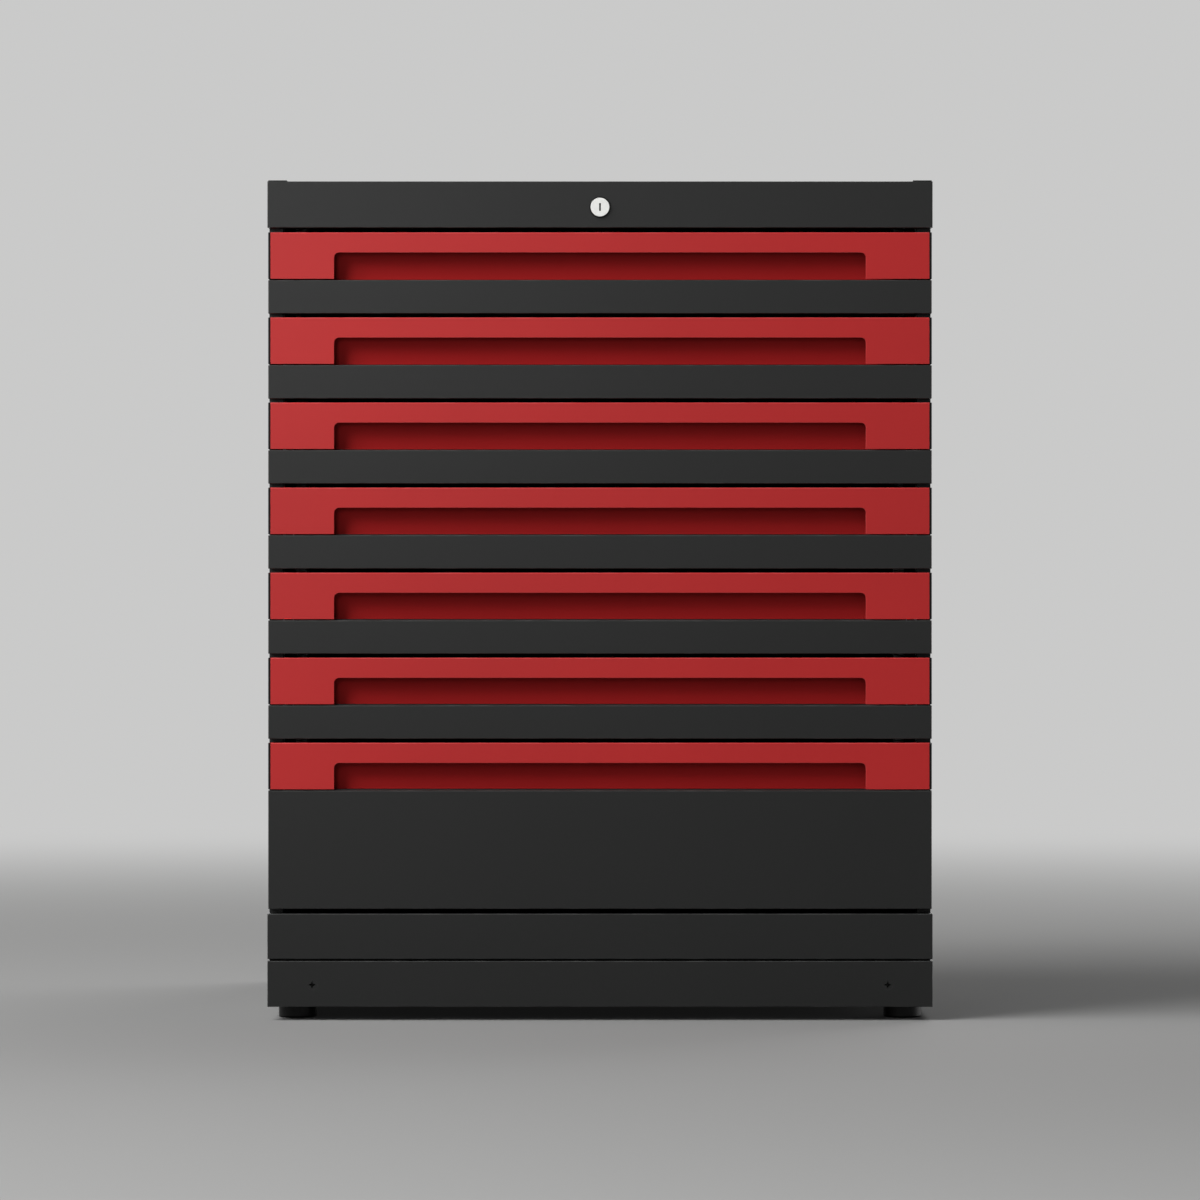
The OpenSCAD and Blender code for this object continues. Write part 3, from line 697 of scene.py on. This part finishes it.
box_coat = powder_coat("grey_powder_coat", (0.085, 0.088, 0.09), edge_wear_and_highlight=(0.2, 0.2, 0.2))
front_wall_rise = 19 * mm
wrap_wall = 0.9 * sheet_wall
box_bend = 2 * mm
hem_height = 8 * mm
hem_bend = 0.58 * mm
weld_gap = 0.1 * mm
slot_pitch = 25 * mm
slot_width = 3 * mm
slot_height = 10 * mm
slot_above_floor = 6 * mm
slot_below_rim = 10 * mm
catch_reach = 22 * mm
catch_half_width = 12 * mm
catch_wall = 2 * mm
catch_height = 45 * mm
catch_foot = 15 * mm
catch_drop = 10 * mm


def slots_in(wall_at, rows):
    """A test for the cells of a strip: every second one on a wall is a slot, at the heights of the rows."""

    def is_slot(row, at):
        on_wall = abs(abs(at[0]) - abs(wall_at)) < 0.1 * mm
        return row % 2 == 1 and on_wall and any(bottom < at[1] < top for bottom, top in rows)

    return is_slot


for drawer in drawers:
    low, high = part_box(drawer + "_box")
    front_y = low.y + half_wall
    back_y = high.y - catch_reach
    rim_z = high.z - front_wall_rise
    side_x = high.x - half_wall
    slot_rows = ((low.z + slot_above_floor, low.z + slot_above_floor + slot_height),
                 (rim_z - slot_below_rim - slot_height, rim_z - slot_below_rim))
    levels = [level for row in slot_rows for level in row]
    half_line = [(side_x - sheet_wall, rim_z - hem_height), (side_x - sheet_wall, rim_z - half_wall),
                 (side_x, rim_z - half_wall), (side_x, low.z + half_wall)]
    corners = [(-x, z) for x, z in half_line] + half_line[::-1]
    bends = (hem_bend, hem_bend, box_bend, box_bend, hem_bend, hem_bend)
    wrap_start = low.y + sheet_wall + weld_gap
    wrap_end = back_y - sheet_wall - weld_gap
    wrap_stops = slot_stops(wrap_start, wrap_end, slot_pitch, slot_width)
    walls = [folded_strip("wrap", split_at(bent(corners, bends), levels), wrap_stops,
                          lambda x, z, y: (x, y, z), wrap_wall, punched=slots_in(side_x, slot_rows))]
    for wall_y, top in ((front_y, high.z), (back_y - half_wall, rim_z)):
        line = split_at([Vector((wall_y, low.z)), Vector((wall_y, top))], levels)
        walls.append(folded_strip("wall", line, slot_stops(low.x, high.x, slot_pitch, slot_width),
                                  lambda y, z, x: (x, y, z), sheet_wall, punched=slots_in(wall_y, slot_rows)))
    catch_z = low.z + catch_height
    foot_y = back_y + weld_gap + catch_wall / 2
    hook_y = high.y - catch_wall / 2
    catch_corners = [(foot_y, catch_z + catch_foot), (foot_y, catch_z), (hook_y, catch_z),
                     (hook_y, catch_z - catch_drop)]
    walls.append(folded_strip("catch", bent(catch_corners, (catch_wall, catch_wall)),
                              (-catch_half_width, catch_half_width), lambda y, z, x: (x, y, z), catch_wall))
    box_mesh = joined(drawer + "_box_welded", walls, box_coat)
    shown(drawer + "_box_welded", box_mesh, drawer, "box_coat", drawer + "_box")

# Telescopic runners: the drawer's own member is riveted to the box, and the middle member runs between it
# and the fixed one on rows of steel balls in sheet cages, so that it goes half as far as the drawer.

ball_steel = zinc_plate("polished_ball_steel", (0.62, 0.63, 0.64), roughness=0.16)


def ball_rows(name, finish):
    """A tree that starts a row of balls along Y on each point."""
    tree, size = node_group(name, Balls="Int", Pitch="Float", Radius="Float")
    step = add(tree, "ShaderNodeCombineXYZ", {"Y": size["Pitch"]}).outputs[0]
    row = add(tree, "GeometryNodeMeshLine", {"Count": size["Balls"], "Offset": step}).outputs[0]
    rows = add(tree, "GeometryNodeInstanceOnPoints", {"Points": size["Points"], "Instance": row}).outputs[0]
    spots = add(tree, "GeometryNodeRealizeInstances", {0: rows}).outputs[0]
    sphere = {"Segments": 8, "Rings": 6, "Radius": size["Radius"]}
    ball = add(tree, "GeometryNodeMeshUVSphere", sphere).outputs[0]
    ball = add(tree, "GeometryNodeSetShadeSmooth", {"Geometry": ball}).outputs[0]
    balls = add(tree, "GeometryNodeInstanceOnPoints", {"Points": spots, "Instance": ball}).outputs[0]
    return close_group(tree, balls, finish)


ball_tree = ball_rows("ball_row", ball_steel)
ball_radius = 1.6 * mm
ball_pitch = 10 * mm
rivet_tree = round_heads("rivet_head", zinc)
rivet_radius = 3.2 * mm
rivet_rise = 0.9 * mm
rivet_places = [runner_stops[hole + 2] for hole in runner_holes]
cage_length = 270 * mm
cage_wall = 0.5 * mm
cage_half_width = 2.4 * mm
middle_height = 35 * mm
middle_lip = 2.3 * mm
middle_hole = 4.5 * mm
inner_height = 25 * mm
web_gap = 0.6 * mm
track_x = (box_x + upright_x) / 2
cage_edges = (track_x - cage_half_width, track_x + cage_half_width)
outer_track = (runner_height + middle_height) / 4 - half_wall
inner_track = (middle_height + inner_height) / 4 - half_wall
for drawer in drawers:
    low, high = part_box(drawer + "_runners")
    middle_z = (low.z + high.z) / 2
    riveted = []
    rolling = []
    ball_starts = []
    rivet_points = []
    rivet_ways = []
    for side in (-1, 1):
        riveted.append(runner_member(side, box_x + half_wall, high.x, middle_z, inner_height / 2 - half_wall,
                                     0.0, runner_stops))
        for face in (-1, 1):
            rivet_points += [(side * (box_x + face * sheet_wall), y, middle_z) for y in rivet_places]
            rivet_ways += [(float(side * face), 0.0, 0.0) for y in rivet_places]
        rolling.append(runner_member(
            side, upright_x - sheet_wall - web_gap - half_wall, box_x + web_gap + half_wall, middle_z,
            middle_height / 2 - half_wall, middle_lip, runner_stops, runner_holes, middle_hole))
        for above in (-1, 1):
            for height, start in ((outer_track, runner_ends[1] - cage_length), (inner_track, runner_ends[0])):
                track_z = middle_z + above * height
                line = [Vector((edge_x, track_z)) for edge_x in cage_edges]
                rolling.append(folded_strip("cage", line, (start, start + cage_length),
                                            lambda x, z, y: (side * x, y, z), cage_wall))
                ball_starts.append((side * track_x, start + ball_pitch / 2, track_z))
    riveted.append(grown(drawer + "_rivets", rivet_points, rivet_tree, rivet_ways, Radius=rivet_radius,
                         Height=rivet_rise))
    inner = drawer + "_runners"
    shown(inner + "_rolled", joined(inner + "_rolled", riveted, zinc), drawer, "zinc_steel", inner)
    middle = drawer + "_middle_runners"
    middle_mesh = joined(middle + "_rolled", rolling, zinc)
    shown(middle + "_rolled", middle_mesh, drawer + "_middle", "zinc_steel", middle)
    balls_mesh = grown(drawer + "_balls", ball_starts, ball_tree, Balls=int(cage_length / ball_pitch),
                       Pitch=ball_pitch, Radius=ball_radius)
    shown(drawer + "_balls", balls_mesh, drawer + "_middle", "zinc_steel")

# Studio: a pale matt floor that sweeps up all round into a glowing backdrop, a large soft lamp at the upper
# left with a weak one beside it, a small one near the camera for sheen, one above the back, and low strips
# behind and on the right. The camera is level and far in front.

floor_reach = 9.0
sweep_radius = 2.5
sweep_steps = 12
backdrop_height = 7.0
flat_reach = floor_reach - sweep_radius
profile = [(step * flat_reach / sweep_steps, 0.0) for step in range(sweep_steps + 1)]
for step in range(1, sweep_steps + 1):
    turn = math.radians(90) * step / sweep_steps
    profile.append((flat_reach + sweep_radius * math.sin(turn), sweep_radius * (1 - math.cos(turn))))
profile.append((floor_reach, backdrop_height))
rings = 64
sweep = bmesh.new()
spokes = [[sweep.verts.new((r * math.cos(turn), r * math.sin(turn), z)) for r, z in profile]
          for turn in (math.tau * ring / rings for ring in range(rings))]
for ring in range(rings):
    here = spokes[ring]
    there = spokes[(ring + 1) % rings]
    for step in range(len(profile) - 1):
        sweep.faces.new((here[step], here[step + 1], there[step + 1], there[step])).smooth = True
bmesh.ops.remove_doubles(sweep, verts=sweep.verts, dist=0.001 * mm)
sweep_mesh = bpy.data.meshes.new("studio_sweep")
sweep.to_mesh(sweep_mesh)
sweep.free()
in_scene("studio_sweep", sweep_mesh)

backdrop = 0.59
fill = 0.055
warm_white = (1.0, 1.0, 0.995, 1.0)


def glow_level(tree):
    """The backdrop's strength for camera, glossy and transmission rays, and the weak fill for all others."""
    path = add(tree, "ShaderNodeLightPath").outputs
    seen = path["Is Camera Ray"]
    for ray in ("Is Glossy Ray", "Is Transmission Ray"):
        seen = add(tree, "ShaderNodeMath", {0: seen, 1: path[ray]}, operation="MAXIMUM").outputs[0]
    return between(tree, seen, fill, backdrop, start=0.0, end=1.0)


finish, tree, surface, place = new_finish("pale_floor")
surface.inputs["Base Color"].default_value = (0.19, 0.19, 0.188, 1.0)
surface.inputs["Roughness"].default_value = 0.7
surface.inputs["Specular IOR Level"].default_value = 0.0
surface.inputs["Emission Color"].default_value = (1.0, 1.0, 1.0, 1.0)
surface.inputs["Emission Strength"].default_value = 0.006
distance = add(tree, "ShaderNodeVectorMath", {0: place}, operation="LENGTH").outputs["Value"]
far = add(tree, "ShaderNodeMapRange", {"Value": distance, "From Min": 1.0, "From Max": 5.0},
          interpolation_type="SMOOTHSTEP").outputs["Result"]
glow = add(tree, "ShaderNodeEmission", {"Color": warm_white, "Strength": glow_level(tree)}).outputs[0]
mixed = add(tree, "ShaderNodeMixShader", {0: far, 1: surface.outputs[0], 2: glow}).outputs[0]
tree.links.new(mixed, tree.nodes["Material Output"].inputs["Surface"])
sweep_mesh.materials.append(finish)

world = bpy.data.worlds.new("studio")
world.use_nodes = True
bpy.context.scene.world = world
sky = world.node_tree.nodes["Background"]
sky.inputs["Color"].default_value = warm_white
world.node_tree.links.new(glow_level(world.node_tree), sky.inputs["Strength"])


def softbox(name, place, target, width, power, height=None):
    """An area lamp that faces a point, square unless it has a height; the camera doesn't see it."""
    lamp = bpy.data.lights.new(name, "AREA")
    lamp.shape = "RECTANGLE"
    lamp.size = width
    lamp.size_y = height or width
    lamp.energy = power
    piece = in_scene(name, lamp)
    piece.location = place
    piece.visible_camera = False
    piece.rotation_mode = "QUATERNION"
    piece.rotation_quaternion = (Vector(target) - Vector(place)).to_track_quat("-Z", "Y")


front_middle = (0.0, -0.3, 0.5)
softbox("key_lamp", (-3.4, -1.9, 4.2), front_middle, width=4.2, power=530.0)
softbox("left_lamp", (-3.0, -2.6, 2.6), front_middle, width=2.4, power=61.0)
softbox("sheen_lamp", (-0.9, -3.6, 1.3), front_middle, width=0.8, power=14.5)
softbox("top_lamp", (1.4, 2.2, 4.0), (0.0, 0.0, 0.4), width=2.4, power=110.0)
softbox("back_strip", (0.0, 4.8, 0.58), (0.0, 0.3, 0.5), width=4.2, power=55.0, height=0.75)
softbox("right_strip", (4.4, 2.1, 0.58), (0.4, 0.2, 0.5), width=4.2, power=63.0, height=0.75)

camera_distance = 6.1
camera_height = 0.4943
view_width = 1.41043
front_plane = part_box("drawer_1_front")[0].y
camera = bpy.data.cameras.new("camera")
camera.sensor_width = 36.0
camera.lens = camera.sensor_width * camera_distance / view_width
viewpoint = in_scene("camera", camera)
viewpoint.location = (0.0, front_plane - camera_distance, camera_height)
viewpoint.rotation_euler = (math.radians(90), 0.0, 0.0)
bpy.context.scene.camera = viewpoint
bpy.context.scene.view_settings.view_transform = "Standard"
